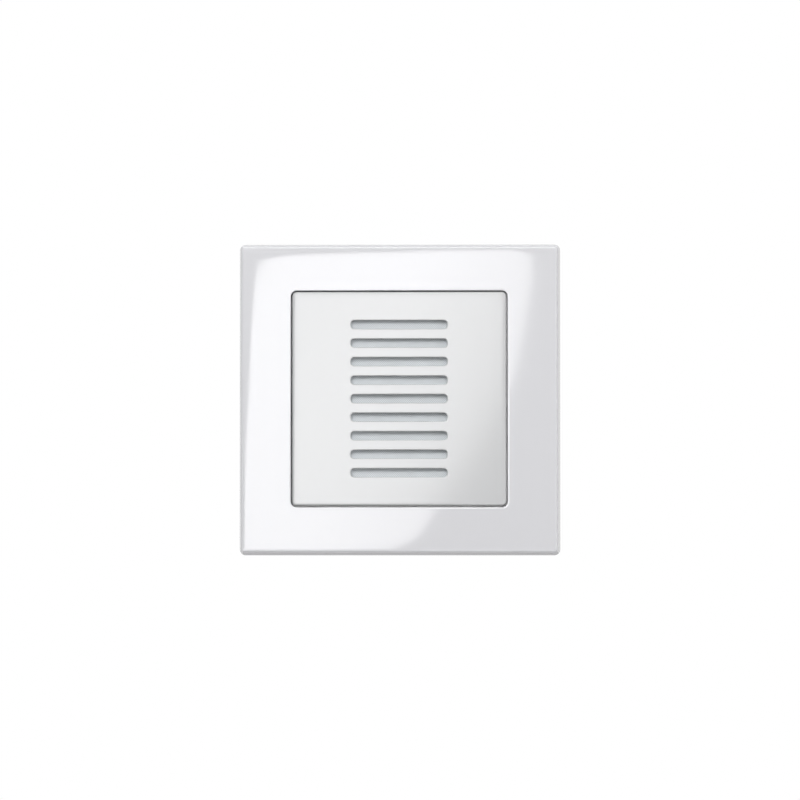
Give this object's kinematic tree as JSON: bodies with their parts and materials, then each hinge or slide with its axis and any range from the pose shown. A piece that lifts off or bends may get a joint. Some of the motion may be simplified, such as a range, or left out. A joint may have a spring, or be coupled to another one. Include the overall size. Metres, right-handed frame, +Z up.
{
  "type": "alarm siren",
  "caption": "Flush indoor alarm siren: square cover frame, slotted front plate, piezo sounder on a steel support ring, and a wall-box insert with spreading claws.",
  "frame": {"origin": "centre of the wall plane, where the support ring and the cover frame's rim meet the wall", "axes": "+Y into the wall, so the front faces -Y; +X to the right for someone facing the siren; +Z up"},
  "size_m": [0.083, 0.0352, 0.0804],
  "materials": {
    "cover_plastic": "gloss white",
    "gauze_cloth": "woven",
    "ring_steel": "galvanised sheet",
    "spring_steel": "rolled strip",
    "screw_zinc": "zinc plated",
    "claw_steel": "zinc plated sheet",
    "case_plastic": "satin pale grey",
    "housing_plastic": "fine texture, dark grey",
    "terminal_plastic": "satin grey",
    "gasket_rubber": "matt black",
    "disc_brass": "rolled sheet",
    "disc_ceramic": "silvered ceramic",
    "lead_red_pvc": "satin",
    "lead_black_pvc": "satin",
    "solder_tin": "bright",
    "board_laminate": "green resist",
    "chip_epoxy": "moulded",
    "resistor_body": "chip",
    "capacitor_body": "chip",
    "capacitor_sleeve": "shrunk sleeve",
    "ferrite": "sintered",
    "winding_copper": "enamelled wire",
    "varistor_coat": "dipped",
    "trimmer_plastic": "moulded",
    "spindle_nylon": "moulded",
    "terminal_metal": "tinned"
  },
  "bodies": {
    "insert": {"support_ring": "ring_steel", "cover_springs": "spring_steel", "sounder_case": "case_plastic", "disc_gasket": "gasket_rubber", "sounder_disc": "disc_brass", "piezo_ceramic": "disc_ceramic", "disc_clamp_ring": "case_plastic", "sounder_lead_red": "lead_red_pvc", "sounder_lead_black": "lead_black_pvc", "lead_solder": "solder_tin", "housing": "housing_plastic", "housing_lid": "housing_plastic", "case_screws": "screw_zinc", "circuit_board": "board_laminate", "board_screws": "screw_zinc", "driver_chip": "chip_epoxy", "drive_transistor": "chip_epoxy", "chip_resistors": "resistor_body", "chip_capacitors": "capacitor_body", "storage_capacitor": "capacitor_sleeve", "coil_core": "ferrite", "coil_winding": "winding_copper", "bridge_rectifier": "chip_epoxy", "surge_varistor": "varistor_coat", "volume_trimmer": "trimmer_plastic", "terminal_block": "terminal_plastic", "contact_bars": "terminal_metal"},
    "frame": {"cover_frame": "cover_plastic"},
    "plate": {"front_plate": "cover_plastic", "dust_gauze": "gauze_cloth"},
    "volume_spindle": {"volume_spindle": "spindle_nylon"},
    "claw_screw_right": {"claw_screw_right": "screw_zinc"},
    "claw_nut_right": {"claw_nut_right": "screw_zinc"},
    "claw_right": {"claw_right": "claw_steel"},
    "claw_screw_left": {"claw_screw_left": "screw_zinc"},
    "claw_nut_left": {"claw_nut_left": "screw_zinc"},
    "claw_left": {"claw_left": "claw_steel"},
    "terminal_screw_1": {"terminal_screw_1": "screw_zinc"},
    "terminal_cage_1": {"terminal_cage_1": "terminal_metal"},
    "terminal_screw_2": {"terminal_screw_2": "screw_zinc"},
    "terminal_cage_2": {"terminal_cage_2": "terminal_metal"},
    "terminal_screw_3": {"terminal_screw_3": "screw_zinc"},
    "terminal_cage_3": {"terminal_cage_3": "terminal_metal"}
  },
  "joints": [
    {"name": "cover_pull", "type": "slide", "parent": "insert", "child": "frame", "axis": [0, -1, 0], "range_m": [0, 0.03]},
    {"name": "plate_pull", "type": "slide", "parent": "frame", "child": "plate", "axis": [0, -1, 0], "range_m": [0, 0.03]},
    {"name": "volume_turn", "type": "hinge", "parent": "insert", "child": "volume_spindle", "pos_m": [0.019, 0, 0.0123], "axis": [0, 1, 0], "range_deg": [-135, 135]},
    {"name": "claw_screw_turn_right", "type": "hinge", "parent": "insert", "child": "claw_screw_right", "pos_m": [0.0226, 0, 0], "axis": [0, 1, 0], "range_deg": [0, 810]},
    {"name": "claw_nut_travel_right", "type": "slide", "parent": "insert", "child": "claw_nut_right", "axis": [0, -1, 0], "range_m": [0, 0.00135]},
    {"name": "claw_swing_right", "type": "hinge", "parent": "insert", "child": "claw_right", "pos_m": [0.0174, 0.00135, 0], "axis": [0, 0, -1], "range_deg": [0, 22]},
    {"name": "claw_screw_turn_left", "type": "hinge", "parent": "insert", "child": "claw_screw_left", "pos_m": [-0.0226, 0, 0], "axis": [0, 1, 0], "range_deg": [0, 810]},
    {"name": "claw_nut_travel_left", "type": "slide", "parent": "insert", "child": "claw_nut_left", "axis": [0, -1, 0], "range_m": [0, 0.00135]},
    {"name": "claw_swing_left", "type": "hinge", "parent": "insert", "child": "claw_left", "pos_m": [-0.0174, 0.00135, 0], "axis": [0, 0, 1], "range_deg": [0, 22]},
    {"name": "terminal_screw_turn_1", "type": "hinge", "parent": "insert", "child": "terminal_screw_1", "pos_m": [-0.007, 0.02, -0.0178], "axis": [0, -1, 0], "range_deg": [0, 1800]},
    {"name": "terminal_cage_travel_1", "type": "slide", "parent": "insert", "child": "terminal_cage_1", "axis": [0, 1, 0], "range_m": [0, 0.0025]},
    {"name": "terminal_screw_turn_2", "type": "hinge", "parent": "insert", "child": "terminal_screw_2", "pos_m": [0, 0.02, -0.0178], "axis": [0, -1, 0], "range_deg": [0, 1800]},
    {"name": "terminal_cage_travel_2", "type": "slide", "parent": "insert", "child": "terminal_cage_2", "axis": [0, 1, 0], "range_m": [0, 0.0025]},
    {"name": "terminal_screw_turn_3", "type": "hinge", "parent": "insert", "child": "terminal_screw_3", "pos_m": [0.007, 0.02, -0.0178], "axis": [0, -1, 0], "range_deg": [0, 1800]},
    {"name": "terminal_cage_travel_3", "type": "slide", "parent": "insert", "child": "terminal_cage_3", "axis": [0, 1, 0], "range_m": [0, 0.0025]}
  ],
  "couplings": [
    {"joint": "claw_screw_turn_right", "follows": "claw_nut_travel_right", "rad_per_m": 10472},
    {"joint": "claw_swing_right", "follows": "claw_nut_travel_right", "rad_per_m": 284.42},
    {"joint": "claw_screw_turn_left", "follows": "claw_nut_travel_left", "rad_per_m": 10472},
    {"joint": "claw_swing_left", "follows": "claw_nut_travel_left", "rad_per_m": 284.42},
    {"joint": "terminal_screw_turn_1", "follows": "terminal_cage_travel_1", "rad_per_m": 12566},
    {"joint": "terminal_screw_turn_2", "follows": "terminal_cage_travel_2", "rad_per_m": 12566},
    {"joint": "terminal_screw_turn_3", "follows": "terminal_cage_travel_3", "rad_per_m": 12566}
  ]
}
